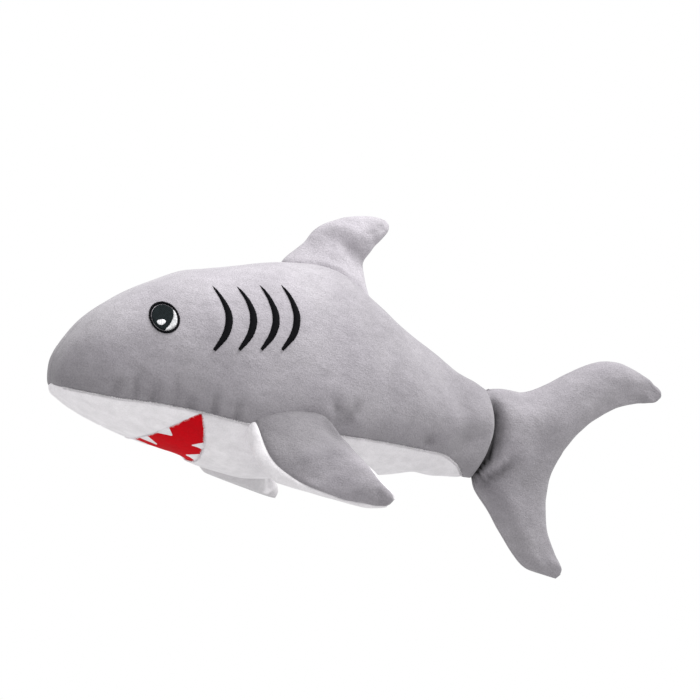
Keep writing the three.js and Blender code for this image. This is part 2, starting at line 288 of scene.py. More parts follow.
def inflate(name, points, pinned, pressure, cap, passes):
    """How far Cloth moves each point of a closed skin under pressure, in level millimetres.

    points is the skin's ring grid and pinned holds its pin weights. No point moves further than cap, and
    passes say how often the movement is evened out, along the rows and round the columns.
    """
    mesh = bpy.data.meshes.new(name)
    mesh.from_pydata((points * MM).reshape(-1, 3).tolist(), [], tube_faces(*points.shape[:2]))
    skin = add_object(name, mesh)
    group = skin.vertex_groups.new(name="seams")
    for index, weight in enumerate(pinned.ravel().tolist()):
        if weight >= LEAST_PIN:
            group.add([index], min(weight, 1), "REPLACE")
    cloth = skin.modifiers.new("Cloth", "CLOTH").settings
    cloth.quality = 6
    cloth.mass = 0.25
    cloth.tension_stiffness = cloth.compression_stiffness = 18
    cloth.shear_stiffness = 8
    cloth.bending_stiffness = 1.2
    cloth.use_pressure = True
    cloth.uniform_pressure_force = pressure
    cloth.shrink_min = -CLOTH_GROWTH
    cloth.vertex_group_mass = "seams"
    cloth.pin_stiffness = 3
    cloth.effector_weights.gravity = 0
    skin.modifiers["Cloth"].point_cache.frame_end = CLOTH_FRAMES
    scene = bpy.context.scene
    for number in range(1, CLOTH_FRAMES + 1):
        scene.frame_set(number)
    shaped = skin.evaluated_get(bpy.context.evaluated_depsgraph_get())
    moved = np.array([v.co for v in shaped.data.vertices]).reshape(points.shape) / MM - points
    scene.frame_set(1)
    bpy.data.objects.remove(skin)
    length = np.linalg.norm(moved, axis=-1, keepdims=True)
    moved = moved * np.minimum(1, cap / np.maximum(length, 1e-6))
    for _ in range(passes[0]):
        padded = np.pad(moved, ((1, 1), (0, 0), (0, 0)), mode="edge")
        moved = (padded[:-2] + 2 * moved + padded[2:]) / 4
    for _ in range(passes[1]):
        moved = (np.roll(moved, 1, axis=1) + 2 * moved + np.roll(moved, -1, axis=1)) / 4
    return moved


SIM_ROWS, SIM_COLUMNS = 104, 84
SIM_START = 0.03  # station parameter of the simulated skin's first row
BODY_SWELL = np.zeros((SIM_ROWS, SIM_COLUMNS, 3))


def simulate_body():
    """Inflates the stuffed body, pinned loosely at its seams, into BODY_SWELL."""
    w = np.arange(SIM_COLUMNS) / SIM_COLUMNS * TURN - math.pi
    u, w = np.meshgrid(np.linspace(SIM_START, 1, SIM_ROWS), w, indexing="ij")
    points = body_point(u, w) - 1.2 * body_normal(u, w)
    seam = seam_angle(u)
    radius = np.linalg.norm(body_point(u, w)[..., 1:] - [0, 60], axis=-1)
    off_seam = np.abs(np.abs(w) - seam) * radius
    off_back = np.abs(w) * radius
    pinned = 0.75 * np.exp(-((off_seam / 3.5) ** 2)) + 0.5 * np.exp(-((off_back / 3) ** 2))
    pinned = np.maximum(pinned, 1 - smoothstep(u, SIM_START, 0.1))
    pinned = np.maximum(pinned, smoothstep(u, 0.93, 0.99))
    BODY_SWELL[:] = inflate("body_swell", points, pinned, 3.0, 5.0, (8, 3))


def fold(points, line, depth, reach):
    """Height of a fold along a line of (x, z) points, seen from the side with z up and x to the right.

    The surface sinks by depth along the line, and recovers over reach[0] on its left and reach[1] on the
    other side.
    """
    flat = points[..., [0, 2]]
    line = np.asarray(line, float)
    lengths = np.linalg.norm(np.diff(line, axis=0), axis=1)
    starts = np.concatenate([[0], np.cumsum(lengths)])
    nearest = np.full(flat.shape[:-1], 1e9)
    left = np.zeros(flat.shape[:-1], bool)
    along = np.zeros(flat.shape[:-1])
    for k in range(len(line) - 1):
        direction = (line[k + 1] - line[k]) / lengths[k]
        away = flat - line[k]
        run = np.clip(away @ direction, 0, lengths[k])
        distance = np.linalg.norm(away - run[..., None] * direction, axis=-1)
        turn = direction[0] * away[..., 1] - direction[1] * away[..., 0]
        closer = distance < nearest
        nearest = np.where(closer, distance, nearest)
        left = np.where(closer, turn > 0, left)
        along = np.where(closer, (starts[k] + run) / starts[-1], along)
    ends = smoothstep(along, 0, 0.25) * smoothstep(1 - along, 0, 0.25)
    width = np.where(left, reach[0], reach[1])
    return -depth * np.exp(-((nearest / width) ** 2)) * lerp(0.15, 1, ends)


def with_folds(values, points, folds, share=1.0):
    """Values over points, with a share of the folds' heights added."""
    for line, depth, reach in folds:
        values = values + share * fold(points, line, depth, reach)
    return values


# Folds of the body on both sides: line of (x, z), depth, reach on its two sides
BODY_FOLDS = [
    ([[34, 17], [37, 20.5], [42, 20]], 1.8, (2.5, 3.5)),
    ([[-29, 46], [-24, 37], [-25, 28]], 3.4, (2.2, 3)),
    ([[-12, 45], [-18, 35], [-22, 27]], 2.6, (2.2, 2.8)),
    ([[62, 48], [64, 32], [62, 12]], 0.9, (6, 5)),
    ([[-150, 66], [-138, 60], [-128, 60]], 0.5, (4, 5)),
]
# Puckers where the cheeks are gathered onto the white seam: x of each, and how far it runs up
PUCKERS = [[-152, 9], [-142, 14], [-132, 12], [-121, 17], [-112, 10], [-99, 15], [-86, 12]]
for pucker_x, pucker_run in PUCKERS:
    seam_z = 38 + 0.24 * (-105 - pucker_x)
    BODY_FOLDS.append(([[pucker_x, seam_z - 2], [pucker_x + 1.5, seam_z + pucker_run]], 2.0, (1.8, 2.4)))


def body_surface(u, w, lift=0.0):
    """The stuffed body's surface before its seams are drawn in, raised by lift along its normal."""
    plain = body_point(u, w)
    normal = body_normal(u, w)
    row = np.clip((u - SIM_START) / (1 - SIM_START), 0, 1) * (SIM_ROWS - 1)
    swell = sample(BODY_SWELL, row, (w + math.pi) / TURN * SIM_COLUMNS)
    lumps = 0.7 * ripple(plain, 70, 11) + 0.35 * ripple(plain, 32, 12) + 0.12 * ripple(plain, 13, 13)
    lumps = lumps * smoothstep(plain[..., 2], -4, 16)
    lumps = with_folds(lumps, plain, BODY_FOLDS, np.abs(w) < seam_angle(u))
    return plain + swell + lumps[..., None] * normal + np.asarray(lift)[..., None] * normal


# ---- panels


BODY_LIP, FIN_LIP = 2.5, 0.6  # how far the edges of the body's and the fins' panels reach inwards


def edge_distance(points):
    """Distances of a grid's points to its first and last row, and to its first and last column."""
    def cumulative(values, axis):
        steps = np.linalg.norm(np.diff(values, axis=axis), axis=-1)
        start = np.zeros_like(np.take(steps, [0], axis=axis))
        return np.concatenate([start, np.cumsum(steps, axis=axis)], axis=axis)

    down, across = cumulative(points, 0), cumulative(points, 1)
    return down, down[-1:, :] - down, across, across[:, -1:] - across


SEAM_REACH = 3.2  # how far inside its edge a body panel begins to roll into its seam


def roll(distance, reach=SEAM_REACH):
    """Share of a seam's depth to which a panel has sunk at this distance from its edge."""
    return np.clip(1 - distance / reach, 0, 1) ** 2.4


def draw_in(points, normals, edges, reach=SEAM_REACH, seed=1):
    """Rolls a panel's edges into its seams, each of its four sides by its own depth, with small puckers."""
    offset = np.zeros(points.shape[:-1])
    for k, (depth, distance) in enumerate(zip(edges, edge_distance(points))):
        if not depth:
            continue
        offset -= depth * roll(distance, reach)
        along = ripple(points, 9, seed + 10 * k) * ripple(points, 30, seed + 10 * k + 1)
        offset += 0.3 * along * np.exp(-distance / 6) * smoothstep(distance, 0, 2)
    return points + offset[..., None] * normals


def with_lips(points, normals, depth, closing):
    """Adds a row and a column all round a grid, sunk below its edges, so that no panel shows a cut edge.

    closing holds, by row (0 or -1), the line on which that edge meets the other side's panel instead.
    """
    sunk = points - depth * normals
    framed = np.pad(points, ((1, 1), (1, 1), (0, 0)), mode="edge")
    framed[0, 1:-1], framed[-1, 1:-1] = sunk[0], sunk[-1]
    framed[1:-1, 0], framed[1:-1, -1] = sunk[:, 0], sunk[:, -1]
    for i, j in ((0, 0), (0, -1), (-1, 0), (-1, -1)):
        framed[i, j] = sunk[i, j]
    for row, line in closing.items():
        framed[row] = np.concatenate([line[:1], line, line[-1:]])
    return framed


def panel(name, points, material, edges, painted_light, flip=False, lip=BODY_LIP, closing=None, **seams):
    """A fabric panel over stuffing, from a grid of points; painted_light(points) is its painted light and
    shade, a multiplier of its colour.
    """
    normals = grid_normals(points)
    if flip:
        normals = -normals
    shaped = draw_in(points, normals, edges, **seams)
    framed = with_lips(shaped, normals, lip, closing or {})
    faces = grid_faces(*framed.shape[:2])
    if flip:
        faces = [tuple(reversed(face)) for face in faces]
    piece = mesh_object(name, framed.reshape(-1, 3), faces, material)
    set_painted_light(piece, painted_light(framed))
    subdivide(piece)
    return piece


# ---- materials


class Shading:
    """The nodes of one new material, and ways to add to them."""

    def __init__(self, name):
        self.material = bpy.data.materials.new(name)
        self.material.use_nodes = True
        self.nodes, self.links = self.material.node_tree.nodes, self.material.node_tree.links
        self.shader = self.nodes["Principled BSDF"]
        self.coordinates = self.nodes.new("ShaderNodeTexCoord")

    def noise(self, scale, detail, roughness, stretch=None):
        texture = self.nodes.new("ShaderNodeTexNoise")
        for socket, value in (("Scale", scale), ("Detail", detail), ("Roughness", roughness)):
            texture.inputs[socket].default_value = value
        source = self.coordinates.outputs["Object"]
        if stretch is not None:
            mapping = self.nodes.new("ShaderNodeMapping")
            mapping.inputs["Scale"].default_value = stretch
            self.links.new(source, mapping.inputs["Vector"])
            source = mapping.outputs["Vector"]
        self.links.new(source, texture.inputs["Vector"])
        return texture.outputs["Fac"]

    def ramp(self, source, *stops):
        """A ramp of two stops, each a position with a grey level or a colour."""
        node = self.nodes.new("ShaderNodeValToRGB")
        for element, (position, value) in zip(node.color_ramp.elements, stops):
            element.position = position
            element.color = (*value, 1) if hasattr(value, "__len__") else (value, value, value, 1)
        self.links.new(source, node.inputs["Fac"])
        return node.outputs["Color"]

    def multiply(self, a, b):
        """The product of two colours."""
        mix = self.nodes.new("ShaderNodeMix")
        mix.data_type = "RGBA"
        mix.blend_type = "MULTIPLY"
        mix.inputs["Factor"].default_value = 1.0
        self.links.new(a, mix.inputs["A"])
        self.links.new(b, mix.inputs["B"])
        return mix.outputs["Result"]

    def maths(self, operation, first, second=None):
        """One sum on values; second is a socket or a number."""
        node = self.nodes.new("ShaderNodeMath")
        node.operation = operation
        self.links.new(first, node.inputs[0])
        if isinstance(second, float):
            node.inputs[1].default_value = second
        elif second is not None:
            self.links.new(second, node.inputs[1])
        return node.outputs[0]

    def bump(self, height, strength, distance, normal=None):
        bump = self.nodes.new("ShaderNodeBump")
        bump.inputs["Strength"].default_value = strength
        bump.inputs["Distance"].default_value = distance
        self.links.new(height, bump.inputs["Height"])
        if normal is not None:
            self.links.new(normal, bump.inputs["Normal"])
        return bump.outputs["Normal"]

    def finish(self, colour, normal, **values):
        """Links the shader's colour and normal, and sets its other inputs."""
        self.links.new(colour, self.shader.inputs["Base Color"])
        self.links.new(normal, self.shader.inputs["Normal"])
        for socket, value in values.items():
            self.shader.inputs[socket.replace("_", " ")].default_value = value
        return self.material


def pile_material(name, dark, light, sheen, grain, fluff):
    """Short pile: brushed patches lean lighter or darker, with the fine grain of the fibre ends."""
    shading = Shading(name)
    patches = shading.noise(26, 3, 0.5, (1.0, 1.0, 1.3))
    streaks = shading.noise(150, 3, 0.6, (0.7, 1.0, 1.3))
    fibres = shading.noise(1300, 2, 0.65)
    ends = shading.noise(3500, 1, 0.5)
    base = shading.ramp(patches, (0.3, dark), (0.7, light))
    soft = shading.ramp(streaks, (0.3, 0.915), (0.7, 1.075))
    fine = shading.ramp(fibres, (0.3, 1 - grain), (0.7, 1 + grain))
    painted_light = shading.nodes.new("ShaderNodeAttribute")
    painted_light.attribute_name = "painted_light"
    colour = shading.multiply(shading.multiply(base, soft), fine)
    # painted light and shade: the colour is multiplied by the piece's painted_light attribute
    colour = shading.multiply(colour, painted_light.outputs["Color"])
    rough = shading.ramp(streaks, (0.3, 0.88), (0.7, 0.98))
    shading.links.new(rough, shading.shader.inputs["Roughness"])
    normal = shading.bump(streaks, 0.4, 0.0014)
    normal = shading.bump(fibres, 0.55, fluff, normal)
    normal = shading.bump(ends, 0.5, 0.0002, normal)
    return shading.finish(
        colour, normal, Specular_IOR_Level=0.12, Sheen_Weight=sheen, Sheen_Roughness=0.5)


def thread_material(name, colour, dotted=False, groove_shade=0.6):
    """Stitching: UV counts the threads along u, and along v where it is dotted with needle holes."""
    shading = Shading(name)
    split = shading.nodes.new("ShaderNodeSeparateXYZ")
    shading.links.new(shading.coordinates.outputs["UV"], split.inputs["Vector"])
    waves = [shading.maths("SINE", shading.maths("MULTIPLY", split.outputs[axis], TURN)) for axis in "XY"]
    relief = shading.maths("MULTIPLY", *waves) if dotted else waves[0]
    uneven = shading.noise(900, 2, 0.6)
    # painted shade: the colour darkens to groove_shade of itself in the grooves between threads and in the
    # needle holes
    shade = shading.ramp(relief, (0.0, [groove_shade * c for c in colour]), (0.7, colour))
    spots = shading.ramp(uneven, (0.35, 0.75), (0.65, 1.3))
    normal = shading.bump(uneven, 0.4, 0.0002, shading.bump(relief, 0.6, 0.00015))
    return shading.finish(shading.multiply(shade, spots), normal, Roughness=0.7, Specular_IOR_Level=0.06)


GREY = pile_material("grey_velvet_pile", (0.345, 0.325, 0.355), (0.405, 0.385, 0.412), 0.30, 0.17, 0.0008)
WHITE = pile_material("white_plush_pile", (0.83, 0.805, 0.835), (0.93, 0.905, 0.93), 0.2, 0.05, 0.0009)
RED = pile_material("red_felt", (0.56, 0.001, 0.006), (0.64, 0.001, 0.008), 0.0, 0.08, 0.0004)
FELT = pile_material("white_felt", (0.84, 0.82, 0.85), (0.92, 0.90, 0.92), 0.1, 0.04, 0.0004)
BLACK = thread_material("black_satin_stitch", (0.006, 0.006, 0.008))
IRIS = thread_material("charcoal_fill_stitch", (0.022, 0.031, 0.034), dotted=True, groove_shade=0.35)
WHITE_THREAD = thread_material("white_satin_stitch", (0.88, 0.88, 0.9), groove_shade=0.85)


def seam_height(x):
    """Height of the grey and white seam at level x."""
    return station(station_at(x))[..., 5]


def grey_painted_light(points):
    """Painted light and shade on the grey pile: painted light along the back and a pool of it on the flank,
    painted shade above the seam and at the nose, and darker towards the tail.
    """
    x, z = points[..., 0], points[..., 2]
    # painted light along the top of the back, where the overhead lamp falls
    light = 1 + lerp(0.29, 0.05, smoothstep(x, -60, -5)) * smoothstep(z, 60, 125)
    # a pool of painted light on the flank
    light = light + 0.17 * np.exp(-(((x + 47) / 42) ** 2) - ((z - 62) / 28) ** 2)
    above = z - seam_height(x)
    # painted shade just above the seam, where the side turns under
    light = light - 0.22 * np.exp(-((above / 12) ** 2)) * (1 - smoothstep(x, -70, 60) * 0.5)
    # painted shade at the nose, which faces away from the lamp; darker from the middle towards the tail
    light = light - 0.12 * (1 - smoothstep(x, -182, -140)) - 0.07 * smoothstep(x, -30, 10)
    return light - 0.08 * smoothstep(x, 40, 75)


FOLD_SHADE = 0.09  # painted shade: how much darker the pile is painted for each millimetre of a fold's depth


# Painted light and shade of the body's grey pile, with painted shade in its folds.
def body_painted_light(points):
    return with_folds(grey_painted_light(points), points, BODY_FOLDS, FOLD_SHADE)


# An even level of painted light; 1 leaves the colour as it is.
def even_painted_light(points, light=1.0):
    return np.full(points.shape[:-1], light)


# ---- the body's panels

simulate_body()

LEFT, RIGHT = -1, 1
SIDES = (("left", LEFT), ("right", RIGHT))
JOINT_START, JOINT_END = place(70.3, 0, 24.9), place(95.7, 0, 19.1)  # across the tail joint's tilted line

for word, side in SIDES:
    u = lerp(NOSE_START, 1, spacing(330, 2.4))[:, None]
    share = spacing(110, 2.4)[None, :]
    w = side * share * seam_angle(u)
    side_panel = panel(f"side_panel_{word}", body_surface(*np.broadcast_arrays(u, w)), GREY,
                       (0, 0, 0.3, 0.7), body_painted_light, flip=side == LEFT, seed=21, reach=2.6)
    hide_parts(f"body_side_{word}", "body_stuffing")
    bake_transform(side_panel)


MOUTH_CORNER, MOUTH_FRONT, MOUTH_REAR = -105.0, -134.0, -99.5
BELLY_END = 73.0


def mouth_front(q):
    return lerp(MOUTH_FRONT, MOUTH_CORNER, np.abs(q) ** 2.2)


def mouth_rear(q):
    return lerp(MOUTH_REAR, MOUTH_CORNER, np.abs(q) ** 2.5)


def under_angles(u, q):
    """The angle round the body of q, which is -1 at one seam, 0 at the keel and 1 at the other seam."""
    return math.pi + q * (math.pi - seam_angle(u))


def under_turn(u, q):
    """under_angles() of -q, as an angle from -pi to pi."""
    w = under_angles(u, -q)
    return np.where(w > math.pi, w - TURN, w)


def under_panel(name, node, x_from, x_to, rows, columns, material, slot, sunk=0, painted_light=even_painted_light, **options):
    """A panel of the underside between two level x, each a function of q."""
    q = (2 * columns - 1)[None, :]
    u = lerp(station_at(x_from(q)), station_at(x_to(q)), rows[:, None])
    w = under_turn(u, np.broadcast_to(q, u.shape))
    points = body_surface(u, w, -sunk)
    piece = panel(name, points, material, painted_light=painted_light, flip=True, **options)
    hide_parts(node)
    return piece


nose_x = float(station(np.array(NOSE_START))[0])
# The snout's white pile is painted 6 per cent lighter than the belly's, as painted light.
snout = under_panel(
    "snout_panel", "snout_underside", lambda q: nose_x + 0 * q, mouth_front,
    spacing(60, 2), spacing(90, 2),
    WHITE, "white_plush", edges=(0, 0.3, 0.35, 0.35), seed=31, painted_light=lambda points: even_painted_light(points, 1.06))
lining = under_panel(
    "mouth_lining", "mouth_panel", lambda q: mouth_front(q) - 1.5, lambda q: mouth_rear(q) + 1.5,
    np.linspace(0, 1, 26), np.linspace(0.015, 0.985, 60),
    RED, "red_felt", sunk=0.4, edges=(0, 0, 0, 0), seed=41)
belly = under_panel(
    "belly_white_panel", "belly_panel", mouth_rear, lambda q: BELLY_END + 0 * q,
    spacing(165, 2.2), spacing(96, 2.2),
    WHITE, "white_plush", edges=(0.3, 0.3, 0.35, 0.35), seed=51)
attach(snout, "body")
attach(lining, "body")
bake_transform(belly)


# ---- fuzz along the white seams

# The fibres are the white pile itself, painted lighter than the white panels as a painted highlight where
# the fuzz catches the light.
WHITE_FUZZ = pile_material("white_pile_fibres", (0.93, 0.91, 0.935), (0.99, 0.97, 0.99), 0.2, 0.03, 0.0002)
FUZZ_WIDTH = 0.17  # width of a blade of pile at its root


def fuzz(name, roots, normals, leans, length, seed):
    """Fine white pile: one bent, tapering blade from each root, leaning along leans."""
    rng = np.random.default_rng(seed)
    count = len(roots)
    stretch = length * rng.uniform(0.55, 1.15, (count, 1))
    tilt = np.radians(rng.uniform(50, 85, (count, 1)))
    sideways = unit(np.cross(normals, leans))
    wander = rng.normal(0, 0.35, (count, 1)) * sideways
    low = unit(normals * np.cos(tilt * 0.6) + leans * np.sin(tilt * 0.6) + wander)
    high = unit(normals * np.cos(tilt * 1.2) + leans * np.sin(tilt * 1.2) + 1.5 * wander)
    middle = roots + low * stretch * 0.5
    tip = middle + high * stretch * 0.5
    turn = rng.uniform(0, math.pi, (count, 1))
    flat = sideways * np.cos(turn) + leans * np.sin(turn)
    low, high = flat * FUZZ_WIDTH / 2, flat * FUZZ_WIDTH * 0.4
    points = np.stack([roots - low, roots + low, middle + high, middle - high, tip], axis=1)
    faces = []
    for first in range(0, 5 * count, 5):
        faces.append((first, first + 1, first + 2, first + 3))
        faces.append((first + 3, first + 2, first + 4))
    piece = mesh_object(name, points.reshape(-1, 3), faces, WHITE_FUZZ)
    set_painted_light(piece, np.ones(5 * count))
    return piece


def seam_fuzz(name, side, x_from, x_to, count, seed):
    """White pile along one side's grey and white seam, leaning over the grey."""
    rng = np.random.default_rng(seed)
    u = rng.uniform(station_at(x_from), station_at(x_to), count)
    seam = seam_angle(u)
    step = 0.01
    here = body_point(u, side * seam)
    per_turn = np.linalg.norm(body_point(u, side * (seam + step)) - here, axis=-1) / step
    inside = rng.uniform(0.0, 1.4, count)
    w = side * np.minimum(seam + inside / per_turn, math.pi - 0.01)
    roots = body_surface(u, w, -0.1 - 0.35 * roll(inside))
    leans = unit(body_point(u, side * (seam - step)) - here)
    return fuzz(name, roots, body_normal(u, w), leans, 1.4, seed + 1)


def jaw_fuzz(name, jaw, inwards, count, seed):
    """White pile along a jaw's edge, leaning over the mouth; inwards is the sign of x towards the mouth."""
    rng = np.random.default_rng(seed)
    q = rng.uniform(-0.98, 0.98, count)
    inside = rng.uniform(0.0, 1.2, count)
    x = jaw(q) - inwards * inside
    roots = under_point(x, q, -0.1 - 0.3 * roll(inside))
    u = station_at(x)
    normals = body_normal(u, np.where(q < 0, -1, 1) * np.abs(under_angles(u, np.abs(q))))
    leans = np.broadcast_to(np.array([float(inwards), 0, 0]), roots.shape)
    leans = unit(leans - np.sum(leans * normals, axis=-1, keepdims=True) * normals)
    return fuzz(name, roots, normals, leans, 1.3, seed + 1)


def under_point(x, q, lift):
    """A point of the underside at level x and share q of the way to a seam, lifted off it."""
    u = station_at(x)
    return body_surface(u, under_turn(u, q), lift)


for word, side in SIDES:
    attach(seam_fuzz(f"snout_seam_fuzz_{word}", side, -178, MOUTH_CORNER, 4500, 201), "body")
    belly_fuzz = seam_fuzz(f"belly_seam_fuzz_{word}", side, MOUTH_CORNER, 72, 9000, 211)
    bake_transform(belly_fuzz)
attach(jaw_fuzz("upper_jaw_fuzz", mouth_front, 1, 5000, 221), "body")
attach(jaw_fuzz("lower_jaw_fuzz", mouth_rear, -1, 4000, 231), "body")


# ---- teeth, eyes and gill slits


def side_point(x, z, side, lift):
    """A point on the stuffed body's side at level x and height z, lifted off it."""
    u = station_at(x)
    return body_surface(u, side * angle_at(u, z), lift)


def patch(name, node, points, material, stitches=None):
    """A raised patch from a grid of points; stitches holds its points' UV, which count stitches."""
    faces = grid_faces(*points.shape[:2])
    outward = unit(points * [0, 1, 1] - [0, 0, 60])  # away from the body's long axis
    if float(np.mean(np.sum(grid_normals(points) * outward, axis=-1))) < 0:
        faces = [tuple(reversed(face)) for face in faces]
    piece = mesh_object(name, points.reshape(-1, 3), faces, material)
    if stitches is not None:
        layer = piece.data.uv_layers.new(name="stitches")
        corners = np.zeros(len(piece.data.loops), int)
        piece.data.loops.foreach_get("vertex_index", corners)
        layer.data.foreach_set("uv", stitches.reshape(-1, 2)[corners].ravel())
    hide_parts(node)
    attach(piece, "body")
    return piece


def dome(t):
    """Height across a satin-stitched band, from 0 at both edges to 1 in its middle."""
    return np.sqrt(np.clip(1 - (2 * t - 1) ** 2, 0, 1))


STITCH = 0.45  # width of one satin stitch
EMBROIDERY = 0.9  # height of the satin stitching above the pile's base
TUCK = 0.9  # depth to which a patch's edges go into the pile


def satin(name, node, line, side, length, material, height=EMBROIDERY, jitter=0.12, seed=7):
    """A satin-stitched band: line(s) gives the x, z of its two edges for s from 0 to 1."""
    count = max(int(length / STITCH), 8)
    per_stitch = 4
    s = np.linspace(0, 1, count * per_stitch + 1)
    t = np.linspace(0, 1, 11)
    first, second = line(s)
    rng = np.random.default_rng(seed)
    ragged = np.repeat(rng.uniform(-jitter, jitter, (2, count + 1)), per_stitch, axis=1)[:, :len(s)]
    width = np.linalg.norm(second - first, axis=1)
    reach = np.stack([-ragged[0], width + ragged[1]], axis=0) / np.maximum(width, 0.2)
    share = lerp(reach[0][:, None], reach[1][:, None], t[None, :])
    flat = first[:, None, :] + (second - first)[:, None, :] * share[..., None]
    thread = 0.1 * np.abs(np.sin(math.pi * np.arange(len(s)) / per_stitch))[:, None]
    full = np.clip(width / 1.5, 0.45, 1)[:, None]
    lift = (height + TUCK + thread) * full * dome(t)[None, :] ** 0.7 - TUCK
    lift = lift * np.ones_like(share)
    lift[0], lift[-1] = -TUCK, -TUCK
    points = side_point(flat[..., 0], flat[..., 1], side, lift)
    stitches = np.stack(np.meshgrid(np.linspace(0, count, len(s)), t, indexing="ij"), axis=-1)
    return patch(name, node, points, material, stitches)


EYE_X, EYE_Z = -125.0, 90.3
EYE_WIDE, EYE_TALL, EYE_OUTLINE = 8.1, 8.8, 1.4  # half width, half height, width of the ring


def eye_at(turn, radius):
    """x, z of a point of the eye; radius is a share of its whole radius."""
    x = EYE_X + EYE_WIDE * radius * np.cos(turn)
    return np.stack([x, EYE_Z + EYE_TALL * radius * np.sin(turn)], axis=-1)


def filled(name, node, centre, wide, tall, side, base, height, material, wobble=0.0):
    """A filled, slightly domed round patch."""
    rings, around = 12, 72
    r = np.linspace(0.02, 1, rings)[:, None]
    turn = np.linspace(0, TURN, around + 1)[None, :]
    edge = 1 + wobble * np.sin(2 * turn + 0.6) + 0.5 * wobble * np.sin(3 * turn)
    x = centre[0] + wide * r * edge * np.cos(turn)
    z = centre[1] + tall * r * edge * np.sin(turn)
    lift = base + height * (1 - r**6) * np.ones_like(turn)
    lift[-1] = -TUCK
    stitches = np.stack([x, z], axis=-1) / (2 * STITCH)
    return patch(name, node, side_point(x, z, side, lift), material, stitches)


for word, side in SIDES:
    inner = 1 - EYE_OUTLINE / EYE_WIDE
    satin(f"eye_ring_{word}", f"eye_outline_{word}",
          lambda s: (eye_at(TURN * s, 1.0), eye_at(TURN * s, inner)), side, TURN * 8.4,
          BLACK)
    filled(f"eye_fill_{word}", f"eye_iris_{word}", (EYE_X, EYE_Z), EYE_WIDE * (inner + 0.03),
           EYE_TALL * (inner + 0.03), side, 0.35, 0.25, IRIS)
    filled(f"eye_glint_{word}", f"eye_highlight_{word}", (EYE_X - 2.1, EYE_Z - 2.7), 2.3, 1.75, side,
           0.6, 0.45, WHITE_THREAD, wobble=0.12)

    def crescent(s):
        turn = lerp(-1.72, 0.78, s)
        thick = (0.25 + 2.9 * np.sin(math.pi * s**0.85) ** 0.9) / EYE_WIDE
        return eye_at(turn, inner + 0.01), eye_at(turn, inner - thick)

    satin(f"eye_shine_{word}", f"eye_crescent_{word}", crescent, side, 17, WHITE_THREAD,
          height=1.15, jitter=0.08)

# x of each gill slit's top; then along it: x from its top, height, width
GILLS = [-95.5, -81.5, -68.5, -56.3]
GILL_LINE = [[0, 109.2, 0.6], [3.9, 100.5, 2.9], [5.7, 91, 4.7], [3.0, 81.5, 4.5], [-4.2, 72.4, 2.0]]
for word, side in SIDES:
    for k, gill_x in enumerate(GILLS):
        def gill(s, gill_x=gill_x):
            row = curve_through(GILL_LINE, s)
            slope = unit(np.gradient(row[:, :2], axis=0))
            across = np.stack([-slope[:, 1], slope[:, 0]], axis=1) * row[:, 2:3] / 2
            centre = row[:, :2] + [gill_x, 0]
            return centre + across, centre - across

        satin(f"gill_{word}_{k + 1}", f"gill_slit_{word}_{k + 1}", gill, side, 40, BLACK,
              seed=k)


def tooth(name, node, jaw, inset, shape):
    """A felt triangle on the mouth lining, from q1 to q2 along a jaw's edge to its tip."""
    q1, q2, tip_x, tip_q = shape
    i = np.linspace(0, 1, 22)[:, None]
    j = np.linspace(0, 1, 17)[None, :]
    base_q = lerp(q1, q2, j)
    end_q = tip_q + (j - 0.5) * 0.06 * (q2 - q1)
    q = lerp(base_q, end_q, i)
    x = lerp(jaw(base_q) + inset, tip_x, i)
    rim = np.minimum(dome(j) * np.ones_like(i), 1.0) ** 0.5 * np.clip((1 - i) / 0.06, 0, 1) ** 0.5
    lift = lerp(-1.1, 0.05, rim)
    lift[0] = -0.4
    piece = patch(name, node, under_point(x, q, lift), FELT)
    set_painted_light(piece, np.ones(x.shape))


# Teeth of one half, from the mouth's corner to the keel: q of the base's ends, x and q of the tip
UPPER_TEETH = [[0.52, 0.71, -118, 0.555], [0.22, 0.415, -122, 0.215]]
LOWER_TEETH = [[0.45, 0.62, -106.5, 0.465], [0.12, 0.385, -105.5, 0.19]]
MIDDLE_TOOTH = [-0.08, 0.08, -123, 0]


def mirrored(teeth):
    return [[-q2, -q1, x, -q] for q1, q2, x, q in teeth]


for k, shape in enumerate(mirrored(UPPER_TEETH) + [MIDDLE_TOOTH] + UPPER_TEETH[::-1]):
    tooth(f"upper_felt_tooth_{k + 1}", f"upper_tooth_{k + 1}", mouth_front, -0.8, shape)
for k, shape in enumerate(mirrored(LOWER_TEETH) + LOWER_TEETH[::-1]):
    tooth(f"lower_felt_tooth_{k + 1}", f"lower_tooth_{k + 1}", mouth_rear, 0.8, shape)


# ---- the fins


TIP_ROUND = 0.05  # share of a fin's length over which it rounds off at a tip
FIN_ROUND = 0.9  # power of the fins' sections


def fin_ring(ribs, s, psi, tips=(1,)):
    """Points of a fin's closed sections: psi is 0 at the leading edge and pi at the trailing one.

    tips holds the ends of s, 0 or 1, at which the fin closes.
    """
    flat = [[*a, *b, half] for a, b, half in ribs]
    row = curve_through(flat, s)
    lower, higher = (curve_through(flat, np.clip(s + step, 0, 1)) for step in (-0.004, 0.004))
    chord = (1 - np.cos(psi))[..., None] / 2
    middle = lerp(row[..., :3], row[..., 3:6], chord)
    along = lerp(higher[..., :3], higher[..., 3:6], chord) - lerp(lower[..., :3], lower[..., 3:6], chord)
    normal = unit(np.cross(along, row[..., 3:6] - row[..., :3]))
    height = row[..., 6] * np.sign(np.sin(psi)) * np.abs(np.sin(psi)) ** FIN_ROUND
    for tip in tips:
        near = np.clip(np.abs(s - tip) / TIP_ROUND, 0.1, 1)
        height = height * np.sqrt(near * (2 - near))
    return middle + height[..., None] * normal


